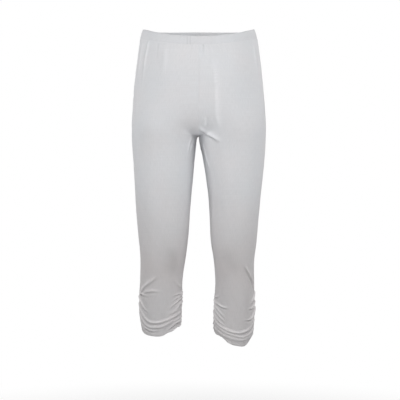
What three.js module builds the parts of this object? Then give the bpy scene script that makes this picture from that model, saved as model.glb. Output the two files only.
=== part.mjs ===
// Cropped leggings in thin stretch jersey, in the hollow shape they have when worn.
// Units are millimetres. +Z is up, the front faces -Y, and the wearer's left is +X.
// The origin is the centre of the waist opening, level with its edge at the sides.
import * as THREE from 'three';

// Cloth
const WALL = 2;             // thickness of a panel's wall
const BAND_WALL = 3.2;      // folded jersey with elastic inside
const BAND_PROUD = 0.8;     // how far the band stands out past the panels
const BAND_EDGE = 0.8;      // bevel along the band's top
const SEAM_GAP = 0.3;       // space between neighbouring pieces

// Waist
const BAND_HEIGHT = 24;
const FRONT_DIP = 28;       // the waist edge hangs this far below its sides at the front
const BACK_RISE = 6;        // and stands this far above them at the back
const DIP_ENDS = -150;      // height below which the rows run level
const TILT_POWER = 0.8;     // lower keeps the tilt nearly whole until close to the side seams

// Fork, where the trunk parts into two legs
const FORK_TOP = -150;
const CROTCH = -276;
const ARCH = 13;            // height over which the wall turns from under the crotch into the leg
const ARCH_CROWD = 24;      // how closely that turn keeps to the seam
const FRONT_FORK = 5;       // how low the crotch seam runs at the front before it turns under
const BACK_FORK = 4;        // and how low at the back
const FORK_BLEND = 4;       // how closely the cloth beside the crotch seam keeps to the legs
const SQUARE = 2.5;         // 2 makes the sections ellipses, more makes them squarer

// Mesh density
const PANEL_STEPS = 10;     // across a panel, from side seam to centre seam or inseam
const BAND_STEPS = 12;      // in each quarter of the waistband
const HIP_ROWS = 4;
const FORK_ROWS = 7;
const LEG_ROWS = 9;

// Distance of the front and back from the origin's plane, by height.
const DEPTH = [
  { z: 10, front: 96, back: 100 },
  { z: -50, front: 108, back: 112 },
  { z: -104, front: 115, back: 124 },
  { z: -156, front: 116, back: 134 },
  { z: -208, front: 112, back: 134 },
  { z: -260, front: 104, back: 120 },
  { z: -312, front: 95, back: 98 },
  { z: -390, front: 90, back: 79 },
  { z: -494, front: 83, back: 61 },
  { z: -546, front: 79, back: 53 },
  { z: -598, front: 72, back: 52 },
  { z: -650, front: 62, back: 57 },
  { z: -702, front: 57, back: 61 },
  { z: -754, front: 54, back: 58 },
  { z: -820, front: 52, back: 54 },
];

// Distance of each side seam and inseam from the centre plane, by height.
const OUTLINE = {
  right: [
    { z: 10, outer: 141, inner: 0 },
    { z: -26, outer: 151.5, inner: 0 },
    { z: -78, outer: 159.5, inner: 0 },
    { z: -156, outer: 168.5, inner: 0 },
    { z: -234, outer: 173, inner: 0 },
    { z: -286, outer: 172.5, inner: 6 },
    { z: -338, outer: 169.5, inner: 11 },
    { z: -442, outer: 163.5, inner: 20 },
    { z: -546, outer: 154.5, inner: 28 },
    { z: -598, outer: 151, inner: 35.5 },
    { z: -650, outer: 152, inner: 42.5 },
    { z: -702, outer: 153.5, inner: 44 },
    { z: -740, outer: 152.5, inner: 45 },
    { z: -775, outer: 147.5, inner: 49 },
    { z: -800, outer: 145, inner: 52 },
  ],
  left: [
    { z: 10, outer: 141.5, inner: 0 },
    { z: -26, outer: 151, inner: 0 },
    { z: -78, outer: 159.5, inner: 0 },
    { z: -156, outer: 169, inner: 0 },
    { z: -234, outer: 174, inner: 0 },
    { z: -286, outer: 174, inner: 1 },
    { z: -338, outer: 170, inner: 11.5 },
    { z: -442, outer: 159.5, inner: 26.5 },
    { z: -546, outer: 149.5, inner: 31.5 },
    { z: -598, outer: 143.5, inner: 39 },
    { z: -650, outer: 144, inner: 43 },
    { z: -702, outer: 144.5, inner: 41.5 },
    { z: -754, outer: 143, inner: 39.5 },
    { z: -790, outer: 139, inner: 41.5 },
    { z: -820, outer: 134, inner: 46 },
  ],
};

// Gathered rows above each hem, from the top down to the hem itself: the height where a row meets
// the side seam, where it hangs lowest, where it meets the inseam, and how far it stands out.
const RUCHING = {
  right: [
    { outer: -640, middle: -646, inner: -640, lift: 0 },
    { outer: -662, middle: -672, inner: -660, lift: 1.2 },
    { outer: -678, middle: -690, inner: -676, lift: -1.5 },
    { outer: -690, middle: -708, inner: -690, lift: 2.4 },
    { outer: -700, middle: -728, inner: -708, lift: -0.9 },
    { outer: -706, middle: -742, inner: -720, lift: 3.3 },
    { outer: -712, middle: -752, inner: -728, lift: -2.7 },
    { outer: -724, middle: -759, inner: -734, lift: 3.6 },
    { outer: -736, middle: -765, inner: -740, lift: -2.7 },
    { outer: -744, middle: -770, inner: -746, lift: 2.7 },
    { outer: -751, middle: -774, inner: -751, lift: -1.8 },
    { outer: -763, middle: -782, inner: -758, lift: 1.8 },
    { outer: -775, middle: -791, inner: -766, lift: 0 },
  ],
  left: [
    { outer: -640, middle: -646, inner: -640, lift: 0 },
    { outer: -662, middle: -674, inner: -660, lift: 1.2 },
    { outer: -680, middle: -696, inner: -680, lift: -1.5 },
    { outer: -696, middle: -720, inner: -694, lift: 2.4 },
    { outer: -712, middle: -742, inner: -708, lift: -1.2 },
    { outer: -730, middle: -762, inner: -722, lift: 3 },
    { outer: -744, middle: -776, inner: -732, lift: -2.7 },
    { outer: -752, middle: -782, inner: -744, lift: 3.3 },
    { outer: -760, middle: -787, inner: -754, lift: -2.4 },
    { outer: -767, middle: -792, inner: -761, lift: 2.7 },
    { outer: -773, middle: -797, inner: -767, lift: -1.8 },
    { outer: -780, middle: -805, inner: -773, lift: 1.8 },
    { outer: -788, middle: -814, inner: -780, lift: 0 },
  ],
};
const BACK_SAG = 0.75;      // the rows hang less at the back than at the front

const { lerp, smoothstep, clamp } = THREE.MathUtils;

// Reads every column of a table at height z, with a smooth curve through its rows.
function readTable(table, z) {
  const last = table.length - 1;
  let k = 0;
  while (k < last - 1 && z < table[k + 1].z) k += 1;
  const [a, b] = [table[k], table[k + 1]];
  const before = table[Math.max(k - 1, 0)];
  const after = table[Math.min(k + 2, last)];
  const span = b.z - a.z;
  const f = clamp((z - a.z) / span, 0, 1);
  const read = {};
  for (const name of Object.keys(a)) {
    const slopeA = ((b[name] - before[name]) / (b.z - before.z)) * span;
    const slopeB = ((after[name] - a[name]) / (after.z - a.z)) * span;
    const ends = a[name] * (1 + 2 * f) * (1 - f) ** 2 + b[name] * f * f * (3 - 2 * f);
    read[name] = ends + slopeA * f * (1 - f) ** 2 - slopeB * f * f * (1 - f);
  }
  return read;
}

// Height of a row at t, which runs from the side seam at 0 to the centre seam or inseam at 1.
function rowHeight(row, front, t) {
  const sag = lerp(row.outer, row.inner, 0.5) - row.middle;
  const hang = sag * (front ? 1 : BACK_SAG) * Math.sin(Math.PI * t);
  const level = lerp(row.outer, row.inner, t) - hang;
  const p = (1 + Math.cos(Math.PI * t)) / 2;
  const tilt = smoothstep(level, DIP_ENDS, 0) * (1 - p * p) ** TILT_POWER;
  return level + tilt * (front ? -FRONT_DIP : BACK_RISE);
}

// A rounded quarter section, 1 at share 0 and falling to 0 at share 1.
function lobe(share, square = SQUARE) {
  return (1 - clamp(share, 0, 1) ** square) ** (1 / square);
}

// The crotch seam's turn, 0 where the fork starts and 1 under the body.
function forkTurn(z) {
  return clamp((FORK_TOP - z) / (FORK_TOP - CROTCH), 0, 1);
}

// Share of the depth that the cloth reaches at a place p, which runs from the centre plane at 0 to
// the side seam at 1. The trunk is one lobe and each leg is one. In the fork the legs' lobes stand
// back from the centre plane only as far as the crotch seam has turned under.
function depthShare(p, z, front) {
  const turn = forkTurn(z);
  const outer = lerp(lobe(p), lobe(2 * p - 1), turn * turn * (3 - 2 * turn));
  const seam = (1 - lobe(lobe(turn, front ? FRONT_FORK : BACK_FORK))) / 2;
  const place = (p ** FORK_BLEND + seam ** FORK_BLEND) ** (1 / FORK_BLEND);
  return outer * lobe(1 - 2 * Math.min(place, 0.5));
}

// Share of the inseam's distance from the centre plane that is still to go at p and height z.
function archGap(p, z) {
  const left = 1 - clamp((CROTCH - z) / ARCH, 0, 1);
  return (1 - Math.sqrt(1 - left * left)) * (1 - p) ** ARCH_CROWD;
}

// A point of the cloth's outer face, grown outwards by grow, on the side named left or right.
function clothPoint(side, front, t, row, grow) {
  const level = rowHeight(row, front, t);
  const { outer, inner } = readTable(OUTLINE[side], level);
  const depth = readTable(DEPTH, level);
  const push = grow + row.lift * Math.sin(Math.PI * t);
  const reach = (depth.back + depth.front) / 2 + push;
  const p = (1 + Math.cos(Math.PI * t)) / 2;
  const x = inner * (1 - archGap(p, level)) + (outer + push - inner) * p;
  const y = (depth.back - depth.front) / 2 + (front ? -reach : reach) * depthShare(p, level, front);
  return new THREE.Vector3(side === 'left' ? x : -x, y, level);
}

// The direction out of the cloth at one place of a panel's grid. Along a seam it lies in the seam's
// plane, so that the two edges face each other squarely.
function outwardAt(grid, r, c, front) {
  const row = grid[r];
  const last = row.length - 1;
  const p = row[c];
  if (c === last && p.z >= CROTCH) {
    const turn = forkTurn(p.z);
    const fork = front ? FRONT_FORK : BACK_FORK;
    const level = lobe(turn, fork) ** (fork - 1);
    return new THREE.Vector3(0, front ? -level : level, -(turn ** (fork - 1))).normalize();
  }
  const across = row[Math.min(c + 1, last)].clone().sub(row[Math.max(c - 1, 0)]);
  const down = grid[Math.min(r + 1, grid.length - 1)][c].clone().sub(grid[Math.max(r - 1, 0)][c]);
  const out = across.cross(down);
  if (c === 0 || c === last) out.y = 0;
  const towards = c === last ? -Math.sign(p.x) : Math.sign(p.x);
  const facing = c === 0 || c === last ? out.x * towards : out.y * (front ? -1 : 1);
  return out.normalize().multiplyScalar(facing < 0 ? -1 : 1);
}

// Closes two facing grids of points, outer and inner, into one solid.
function wallBetween(outer, inner, looped) {
  const rows = outer.length;
  const columns = outer[0].length;
  const positions = [...outer, ...inner].flat().flatMap((p) => p.toArray());
  const at = (layer, r, c) => (layer * rows + r) * columns + (c % columns);
  const indices = [];
  const quad = (a, b, c, d) => indices.push(a, b, c, a, c, d);
  const spans = looped ? columns : columns - 1;
  for (let c = 0; c < spans; c += 1) {
    for (let r = 0; r < rows - 1; r += 1) {
      quad(at(0, r, c), at(0, r + 1, c), at(0, r + 1, c + 1), at(0, r, c + 1));
      quad(at(1, r, c), at(1, r, c + 1), at(1, r + 1, c + 1), at(1, r + 1, c));
    }
    quad(at(0, 0, c), at(0, 0, c + 1), at(1, 0, c + 1), at(1, 0, c));
    const end = rows - 1;
    quad(at(0, end, c), at(1, end, c), at(1, end, c + 1), at(0, end, c + 1));
  }
  for (let r = 0; !looped && r < rows - 1; r += 1) {
    const end = columns - 1;
    quad(at(0, r, 0), at(1, r, 0), at(1, r + 1, 0), at(0, r + 1, 0));
    quad(at(0, r, end), at(0, r + 1, end), at(1, r + 1, end), at(1, r, end));
  }
  const geometry = new THREE.BufferGeometry();
  geometry.setAttribute('position', new THREE.Float32BufferAttribute(positions, 3));
  geometry.setIndex(indices);
  geometry.computeVertexNormals();
  return geometry;
}

// A level row, before the waist dips it.
function levelRow(z) {
  return { outer: z, middle: z, inner: z, lift: 0 };
}

// Rows of a panel from the waist seam to the hem, closer together round the crotch.
function panelRows(side) {
  const rows = [];
  const seam = -BAND_HEIGHT - SEAM_GAP;
  for (let k = 0; k < HIP_ROWS; k += 1) {
    rows.push(levelRow(lerp(seam, FORK_TOP, k / HIP_ROWS)));
  }
  for (let k = 0; k <= FORK_ROWS; k += 1) {
    const turn = Math.sin((Math.PI / 2) * (k / FORK_ROWS)) ** (2 / FRONT_FORK);
    rows.push(levelRow(lerp(FORK_TOP, CROTCH, turn)));
  }
  rows.push(levelRow(CROTCH - ARCH));
  const ruched = RUCHING[side][0].outer;
  for (let k = 1; k < LEG_ROWS; k += 1) {
    rows.push(levelRow(lerp(CROTCH - ARCH, ruched, k / LEG_ROWS)));
  }
  return rows.concat(RUCHING[side]);
}

// One panel, from its side seam to its centre seam and inseam, and from waist seam to hem.
function panelGeometry(side, front) {
  const outer = panelRows(side).map((row) => {
    const points = [];
    for (let c = 0; c <= PANEL_STEPS; c += 1) {
      points.push(clothPoint(side, front, c / PANEL_STEPS, row, 0));
    }
    return points;
  });
  const inner = outer.map((row, r) => row.map(
    (p, c) => p.clone().addScaledVector(outwardAt(outer, r, c, front), -WALL),
  ));
  if ((side === 'left') === front) {
    [...outer, ...inner].forEach((row) => row.reverse());
  }
  return wallBetween(outer, inner, false);
}

// The waistband, one closed loop round the waist.
function bandGeometry() {
  const loop = (z, grow) => {
    const points = [];
    const quarters = [['left', false], ['right', false], ['right', true], ['left', true]];
    quarters.forEach(([side, front], quarter) => {
      for (let k = 0; k < BAND_STEPS; k += 1) {
        const t = quarter % 2 === 0 ? k / BAND_STEPS : 1 - k / BAND_STEPS;
        points.push(clothPoint(side, front, t, levelRow(z), grow));
      }
    });
    return points;
  };
  const inside = BAND_PROUD - BAND_WALL;
  const face = (grow, top) => [loop(0, top), loop(-BAND_EDGE, grow), loop(-BAND_HEIGHT, grow)];
  const outer = face(BAND_PROUD, BAND_PROUD - BAND_EDGE);
  const inner = face(inside, inside + BAND_EDGE);
  return wallBetween(outer, inner, true);
}

function jersey() {
  return new THREE.MeshStandardMaterial({ color: 0xdfe1e4, roughness: 0.75, metalness: 0 });
}

function elasticJersey() {
  return new THREE.MeshStandardMaterial({ color: 0xe2e4e6, roughness: 0.7, metalness: 0 });
}

// Adds one panel, moved off its neighbours by half a seam gap on each side.
function addPanel(group, side, front) {
  const panel = new THREE.Mesh(panelGeometry(side, front), jersey());
  panel.name = `${front ? 'front' : 'back'}_${side}`;
  const half = SEAM_GAP / 2;
  panel.position.set(side === 'left' ? half : -half, front ? -half : half, 0);
  group.add(panel);
}

function buildLeggings() {
  const group = new THREE.Group();
  const band = new THREE.Mesh(bandGeometry(), elasticJersey());
  band.name = 'waistband';
  group.add(band);
  for (const side of ['left', 'right']) {
    addPanel(group, side, true);
    addPanel(group, side, false);
  }
  return group;
}

export default buildLeggings();
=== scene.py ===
# Cropped leggings in thin stretch jersey: the cloth, its seams and the ruching above the hems.
import math
from typing import NamedTuple

import bpy
import numpy as np
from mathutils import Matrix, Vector


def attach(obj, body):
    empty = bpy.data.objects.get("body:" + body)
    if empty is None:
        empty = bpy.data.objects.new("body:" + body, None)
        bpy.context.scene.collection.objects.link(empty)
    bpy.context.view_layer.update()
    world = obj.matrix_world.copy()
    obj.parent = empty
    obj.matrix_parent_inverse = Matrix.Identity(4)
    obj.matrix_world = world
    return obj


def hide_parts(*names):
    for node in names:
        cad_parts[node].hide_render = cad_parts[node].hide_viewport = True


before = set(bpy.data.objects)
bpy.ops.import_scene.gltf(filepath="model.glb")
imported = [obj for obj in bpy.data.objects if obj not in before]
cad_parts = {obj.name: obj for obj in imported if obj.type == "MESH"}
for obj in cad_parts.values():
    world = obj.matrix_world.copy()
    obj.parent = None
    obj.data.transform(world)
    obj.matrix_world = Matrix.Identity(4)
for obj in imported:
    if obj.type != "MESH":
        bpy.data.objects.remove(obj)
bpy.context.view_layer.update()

# Lengths below are millimetres, as in the part's own source. MM turns them into Blender's metres.
MM = 0.001

# ------ cut of the garment

CLOTH = 0.9                 # thickness of the shell that stands for the jersey
HEM_CLOTH = 1.5             # where the hem is turned up, the cloth lies double
HEM_TURN = 17.0             # depth of the turned hem
HEM_TAPER = 2.0             # distance over which it thins out to one layer
BAND_HEIGHT = 24.0
BAND_WALL = 3.2
BAND_PROUD = 0.8            # how far the band stands out past the panels
FRONT_DIP = 28.0            # how far the waist edge dips at the front
BACK_RISE = 6.0
DIP_ENDS = -150.0           # height below which the rows run level
TILT_POWER = 0.8
FORK_TOP = -150.0           # the trunk parts into two legs from here down to the crotch
CROTCH = -276.0
ARCH = 13.0                 # height over which the cloth turns from under the crotch
ARCH_CROWD = 24             # how closely that turn keeps to the seam
SQUARE = 2.5                # 2 makes the sections ellipses, more makes them squarer
FRONT_FORK = 5.0            # how low the crotch seam runs before it turns under
BACK_FORK = 4.0
FORK_BLEND = 4.0
RUCHING_TOP = -640.0
BACK_SAG = 0.75             # how far the back's hem sags, as a share of the front's

# Height, distance of the front and of the back from the origin's plane.
DEPTH = np.array([
    (10, 96, 100), (-50, 108, 112), (-104, 115, 124), (-156, 116, 134), (-208, 112, 134),
    (-260, 104, 120), (-312, 95, 98), (-390, 90, 79), (-494, 83, 61), (-546, 79, 53),
    (-598, 72, 52), (-650, 62, 57), (-702, 57, 61), (-754, 54, 58), (-820, 52, 54),
], float)

# Height, distance of the side seam and of the inseam from the centre plane.
OUTLINE = {
    "right": np.array([
        (10, 141, 0), (-26, 151.5, 0), (-78, 159.5, 0), (-156, 168.5, 0), (-234, 173, 0),
        (-286, 172.5, 6), (-338, 169.5, 11), (-442, 163.5, 20), (-546, 154.5, 28),
        (-598, 151, 35.5), (-650, 152, 42.5), (-702, 153.5, 44), (-740, 152.5, 45),
        (-775, 147.5, 49), (-800, 145, 52),
    ], float),
    "left": np.array([
        (10, 141.5, 0), (-26, 151, 0), (-78, 159.5, 0), (-156, 169, 0), (-234, 174, 0),
        (-286, 174, 1), (-338, 170, 11.5), (-442, 159.5, 26.5), (-546, 149.5, 31.5),
        (-598, 143.5, 39), (-650, 144, 43), (-702, 144.5, 41.5), (-754, 143, 39.5),
        (-790, 139, 41.5), (-820, 134, 46),
    ], float),
}


class Hem(NamedTuple):
    """Height of the hem at the side seam, where it hangs lowest, and at the inseam."""
    outer: float
    middle: float
    inner: float


HEMS = {"right": Hem(-775, -791, -766), "left": Hem(-788, -814, -780)}

# Where a panel's hem is drawn up or sags: share across it, spread in shares, and height.
HEM_RISES = {
    ("right", True): ((0.66, 0.09, 8), (0.85, 0.10, 22), (0.20, 0.08, -2)),
    ("left", True): ((0.77, 0.16, 17), (0.24, 0.15, -10)),
    ("right", False): ((0.62, 0.12, -4), (0.30, 0.10, 5)),
    ("left", False): ((0.35, 0.12, 6), (0.72, 0.10, -4)),
}


class Shape(NamedTuple):
    """How far a fold's ridge spreads above and below its path, its trough, and its usual fade."""
    above: float
    below: float
    trough: float
    fade: tuple


PLEAT = Shape(2.2, 2.4, 0.5, (0, 0.5))      # sewn in by the ruching
SWAG = Shape(2.6, 4.2, 0.3, (0.04, 0.04))   # hanging between the two ruched seams
DRAG = Shape(4.6, 3.3, 0.3, (0.1, 0.5))     # pulled out of the top of the ruching
TAUT = Shape(2.8, 2.8, 0.4, (0.2, 0.4))
HOOK = Shape(6.0, 2.4, 1.0, (0.35, 0.3))    # the fold that turns under at the crotch
UPRIGHT = Shape(5.0, 5.0, 0.5, (0.15, 0.6))
STEP = Shape(2.2, 10.0, 0.0, (0.3, 0.3))    # an edge on one side that fades out on the other
GATHER = Shape(1.8, 1.8, 0.3, (0.2, 0.6))   # a pinch at the waistband, drawn in
HOLLOW = Shape(18.0, 18.0, 0.0, (0.35, 0.35))
BROAD = Shape(9.0, 6.5, 0.35, (0.4, 0.4))


class Fold(NamedTuple):
    """A soft ridge along a path of (share across the panel, height) points.

    A share runs from the side seam at 0 to the centre seam or inseam at 1. The ridge fades out
    over a share of its length at its start and its end.
    """
    path: tuple
    lift: float
    shape: Shape
    fade: tuple


def folds(*rows):
    """Folds from (path, lift, shape) rows, some with a fade that isn't their shape's usual one."""
    return [Fold(path, lift, shape, *(own or [shape.fade])) for path, lift, shape, *own in rows]


FRONT_RIGHT = folds(
    # drag lines above the ruching
    (((0.08, -690), (0.16, -672), (0.29, -656), (0.38, -644), (0.48, -634)), 2.5, DRAG),
    (((0.14, -684), (0.28, -676), (0.38, -674), (0.54, -676)), 1.8, DRAG, (0.4, 0.4)),
    (((0.05, -680), (0.15, -683), (0.24, -686), (0.34, -689)), 2.0, PLEAT, (0, 0.6)),
    (((0.70, -642), (0.77, -654), (0.84, -662), (0.93, -670)), 1.4, DRAG, (0.5, 0.1)),
    # short pleats
    (((0.98, -680), (0.87, -683), (0.76, -684), (0.67, -691)), 2.3, PLEAT, (0, 0.6)),
    (((0.98, -686), (0.86, -689), (0.75, -695), (0.68, -706)), 2.6, PLEAT, (0, 0.6)),
    (((0.98, -694), (0.85, -697), (0.77, -704), (0.70, -713), (0.60, -724)), 2.4, PLEAT, (0, 0.6)),
    (((0.98, -704), (0.85, -710), (0.78, -722), (0.67, -732), (0.56, -740)), 2.6, DRAG, (0, 0.5)),
    (((0.04, -690), (0.12, -700), (0.19, -711), (0.25, -722), (0.33, -731)), 3.2, PLEAT, (0, 0.45)),
    # swags from seam to seam
    (((0.03, -704), (0.09, -718), (0.18, -734), (0.25, -745), (0.32, -753), (0.41, -755), (0.49, -754),
      (0.59, -749), (0.68, -743), (0.77, -737), (0.97, -726)), 2.9, SWAG),
    (((0.03, -728), (0.11, -740), (0.19, -754), (0.29, -765), (0.40, -767), (0.49, -766), (0.57, -762),
      (0.65, -755), (0.76, -750), (0.97, -742)), 2.6, SWAG),
    # short pleats at the hem
    (((0.04, -750), (0.15, -764), (0.28, -774), (0.38, -777), (0.52, -774)), 2.2, PLEAT, (0.1, 0.4)),
    (((0.98, -752), (0.90, -754), (0.76, -758), (0.67, -767), (0.59, -778)), 3.1, PLEAT, (0, 0.4)),
    (((0.98, -764), (0.89, -767), (0.77, -771), (0.67, -779), (0.60, -785)), 2.2, PLEAT),
    # gathers at the waistband
    (((0.275, -30), (0.265, -59), (0.253, -84), (0.253, -122), (0.26, -165)), 2.6, TAUT, (0.15, 0.5)),
    (((0.40, -42), (0.40, -72), (0.41, -104)), -0.9, GATHER),
    (((0.18, -36), (0.17, -90), (0.17, -130)), 0.9, UPRIGHT),
    (((0.48, -46), (0.49, -93), (0.48, -139)), 0.7, UPRIGHT, (0.3, 0.5)),
    # taut lines down the inner thigh
    (((0.84, -278), (0.80, -292), (0.78, -310), (0.77, -334)), 2.0, TAUT),
    (((0.87, -282), (0.845, -300), (0.83, -324)), 1.8, TAUT),
    # hollow below the knee, with painted shade in it as well
    (((0.60, -555), (0.66, -600), (0.68, -645)), -1.2, HOLLOW),
)

FRONT_LEFT = folds(
    # drag lines above the ruching
    (((0.35, -605), (0.28, -621), (0.22, -637), (0.15, -654), (0.10, -678)), 3.6, PLEAT, (0.25, 0.2)),
    # short pleats
    (((0.98, -692), (0.87, -691), (0.75, -685)), 1.6, PLEAT, (0, 0.6)),
    (((0.98, -700), (0.90, -704), (0.80, -709), (0.70, -716), (0.58, -720)), 3.1, PLEAT, (0, 0.4)),
    (((0.98, -707), (0.90, -713), (0.80, -723), (0.72, -734), (0.64, -748)), 2.8, PLEAT, (0, 0.4)),
    (((0.98, -716), (0.90, -723), (0.80, -735), (0.72, -746), (0.64, -757)), 2.6, PLEAT, (0, 0.4)),
    (((0.98, -728), (0.92, -736), (0.81, -747), (0.71, -759), (0.63, -767)), 2.6, PLEAT, (0, 0.4)),
    (((0.03, -678), (0.12, -692), (0.18, -702), (0.26, -711)), 3.7, PLEAT),
    (((0.03, -702), (0.12, -714), (0.19, -719), (0.29, -723)), 3.6, PLEAT),
    (((0.03, -718), (0.12, -734), (0.17, -743), (0.25, -749), (0.37, -748)), 4.0, PLEAT),
    (((0.03, -734), (0.12, -747), (0.18, -759), (0.24, -769)), 1.8, PLEAT),
    # swags from seam to seam
    (((0.97, -743), (0.88, -751), (0.76, -763), (0.64, -772), (0.54, -778), (0.44, -781), (0.34, -779),
      (0.23, -773), (0.15, -762), (0.03, -746)), 2.9, SWAG),
    (((0.97, -755), (0.87, -763), (0.72, -775), (0.61, -783), (0.49, -789), (0.37, -792), (0.27, -790),
      (0.16, -784), (0.03, -770)), 2.4, SWAG),
    (((0.97, -767), (0.85, -775), (0.72, -785), (0.61, -792), (0.50, -797), (0.40, -800), (0.28, -799),
      (0.15, -792), (0.03, -784)), 2.0, SWAG),
    # short pleats at the hem
    (((0.76, -794), (0.65, -804), (0.54, -811)), 1.6, PLEAT, (0.3, 0.4)),
    # long taut line down the front
    (((0.71, -64), (0.68, -165), (0.66, -228), (0.63, -272)), 1.4, STEP),
    # a fold and taut lines out of the crotch
    (((0.98, -264), (0.91, -263), (0.84, -266), (0.76, -274), (0.70, -282), (0.65, -291), (0.61, -299)),
     2.5, HOOK),
    (((0.80, -230), (0.795, -246), (0.80, -259)), 1.3, TAUT, (0.3, 0.2)),
    (((0.87, -294), (0.852, -308), (0.848, -328), (0.82, -350), (0.80, -370)), 2.2, TAUT),
    # hollow below the knee, with painted shade in it as well
    (((0.72, -560), (0.56, -600), (0.46, -640)), -1.0, HOLLOW),
    # gathers at the waistband
    (((0.20, -40), (0.20, -84), (0.21, -120)), 0.8, UPRIGHT),
    (((0.83, -46), (0.83, -62), (0.82, -80)), -0.9, GATHER, (0.2, 0.4)),
)

BACK_RIGHT = folds(
    # short pleats
    (((0.98, -674), (0.84, -681), (0.68, -684)), 2.0, PLEAT, (0, 0.6)),
    (((0.03, -686), (0.14, -696), (0.28, -702)), 2.1, PLEAT, (0, 0.6)),
    (((0.98, -684), (0.86, -692), (0.76, -704), (0.70, -716)), 2.2, PLEAT),
    (((0.98, -692), (0.86, -702), (0.72, -716), (0.62, -728)), 2.2, PLEAT),
    (((0.03, -698), (0.13, -711), (0.22, -724), (0.30, -730)), 2.2, PLEAT),
    # swags from seam to seam
    (((0.03, -714), (0.16, -732), (0.30, -744), (0.48, -748), (0.64, -740), (0.80, -726), (0.97, -710)),
     2.6, SWAG),
    (((0.03, -732), (0.18, -748), (0.36, -760), (0.52, -760), (0.70, -749), (0.97, -729)), 2.4, SWAG),
    # short pleats at the hem
    (((0.98, -744), (0.82, -754), (0.66, -766), (0.50, -773)), 2.2, PLEAT, (0, 0.4)),
    (((0.03, -750), (0.16, -763), (0.34, -772), (0.46, -773)), 2.0, PLEAT, (0, 0.4)),
    (((0.98, -758), (0.86, -764), (0.74, -774)), 1.7, PLEAT),
    # under the seat and behind the knee
    (((0.97, -300), (0.80, -306), (0.62, -302), (0.46, -292)), 1.8, BROAD, (0.1, 0.5)),
    (((0.22, -530), (0.45, -541), (0.70, -534)), 1.3, BROAD),
    (((0.34, -556), (0.56, -563), (0.80, -556)), 1.1, BROAD),
    # gathers at the waistband
    (((0.24, -40), (0.24, -90), (0.25, -140)), 0.8, UPRIGHT, (0.2, 0.6)),
)

BACK_LEFT = folds(
    # short pleats
    (((0.98, -686), (0.85, -693), (0.70, -696)), 1.8, PLEAT, (0, 0.6)),
    (((0.03, -690), (0.15, -702), (0.29, -709)), 2.1, PLEAT, (0, 0.6)),
    (((0.03, -708), (0.14, -722), (0.26, -733), (0.40, -738)), 2.2, PLEAT),
    (((0.98, -696), (0.88, -704), (0.78, -717)), 2.0, PLEAT),
    (((0.98, -705), (0.87, -715), (0.74, -731), (0.64, -740)), 2.2, PLEAT),
    # swags from seam to seam
    (((0.97, -718), (0.83, -736), (0.66, -754), (0.50, -764), (0.34, -763), (0.18, -752), (0.03, -740)),
     2.8, SWAG),
    (((0.97, -744), (0.80, -759), (0.62, -772), (0.46, -778), (0.28, -773), (0.03, -758)), 2.4, SWAG),
    # short pleats at the hem
    (((0.98, -762), (0.82, -772), (0.64, -784), (0.44, -791)), 2.3, PLEAT, (0, 0.4)),
    (((0.03, -774), (0.18, -785), (0.36, -793), (0.50, -794)), 2.0, PLEAT, (0, 0.4)),
    (((0.98, -774), (0.86, -781), (0.72, -793)), 1.7, PLEAT),
    # under the seat and behind the knee
    (((0.97, -304), (0.82, -312), (0.66, -309), (0.50, -298)), 1.7, BROAD, (0.1, 0.5)),
    (((0.28, -538), (0.50, -547), (0.76, -540)), 1.4, BROAD),
    (((0.18, -566), (0.42, -574), (0.62, -570)), 1.0, BROAD),
    # gathers at the waistband
    (((0.28, -40), (0.28, -96), (0.28, -150)), 0.7, UPRIGHT, (0.2, 0.6)),
)

FOLDS = {
    ("right", True): FRONT_RIGHT, ("left", True): FRONT_LEFT,
    ("right", False): BACK_RIGHT, ("left", False): BACK_LEFT,
}

# ------ base surface


def smooth01(x):
    """An even step from 0 to 1."""
    x = np.clip(x, 0.0, 1.0)
    return x * x * (3.0 - 2.0 * x)


def bell(x):
    """1 at x = 0, falling to 0 on both sides."""
    return np.exp(-x ** 2)


def read_table(table, z):
    """Every column of a table at the heights z, on a smooth curve through its rows."""
    last = len(table) - 1
    heights = table[:, 0]
    k = np.clip(np.searchsorted(-heights, -z, side="right") - 1, 0, last - 1)
    a, b = table[k], table[k + 1]
    before, after = table[np.maximum(k - 1, 0)], table[np.minimum(k + 2, last)]
    span = b[..., :1] - a[..., :1]
    f = np.clip((z[..., None] - a[..., :1]) / span, 0.0, 1.0)
    slope_a = (b - before) / (b[..., :1] - before[..., :1]) * span
    slope_b = (after - a) / (after[..., :1] - a[..., :1]) * span
    ends = a * (1 + 2 * f) * (1 - f) ** 2 + b * f * f * (3 - 2 * f)
    found = ends + slope_a * f * (1 - f) ** 2 - slope_b * f * f * (1 - f)
    return found[..., 1], found[..., 2]


def lobe(share):
    """A rounded quarter section: 1 at share 0, falling to 0 at share 1."""
    return np.maximum(1 - np.clip(share, 0.0, 1.0) ** SQUARE, 0.0) ** (1 / SQUARE)


def fork_turn(z):
    """0 above the fork and 1 at the crotch."""
    return np.clip((FORK_TOP - z) / (FORK_TOP - CROTCH), 0.0, 1.0)


def depth_share(p, z, front):
    """Share of the depth reached at p, from the centre plane at 0 to the side seam at 1.

    The trunk is one lobe and each leg is one. In the fork the legs' lobes stand back from the
    centre plane only as far as the crotch seam has turned under.
    """
    turn = fork_turn(z)
    even = smooth01(turn)
    outer = lobe(p) * (1 - even) + lobe(2 * p - 1) * even
    power = FRONT_FORK if front else BACK_FORK
    level = (1 - turn ** power) ** (1 / power)
    seam = (1 - lobe(level)) / 2
    place = (p ** FORK_BLEND + seam ** FORK_BLEND) ** (1 / FORK_BLEND)
    return outer * lobe(1 - 2 * np.minimum(place, 0.5))


def arch_gap(p, z):
    """Share of the inseam's distance from the centre plane still to go at p and height z."""
    left = 1 - np.clip((CROTCH - z) / ARCH, 0.0, 1.0)
    return (1 - np.sqrt(1 - left * left)) * (1 - p) ** ARCH_CROWD


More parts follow.
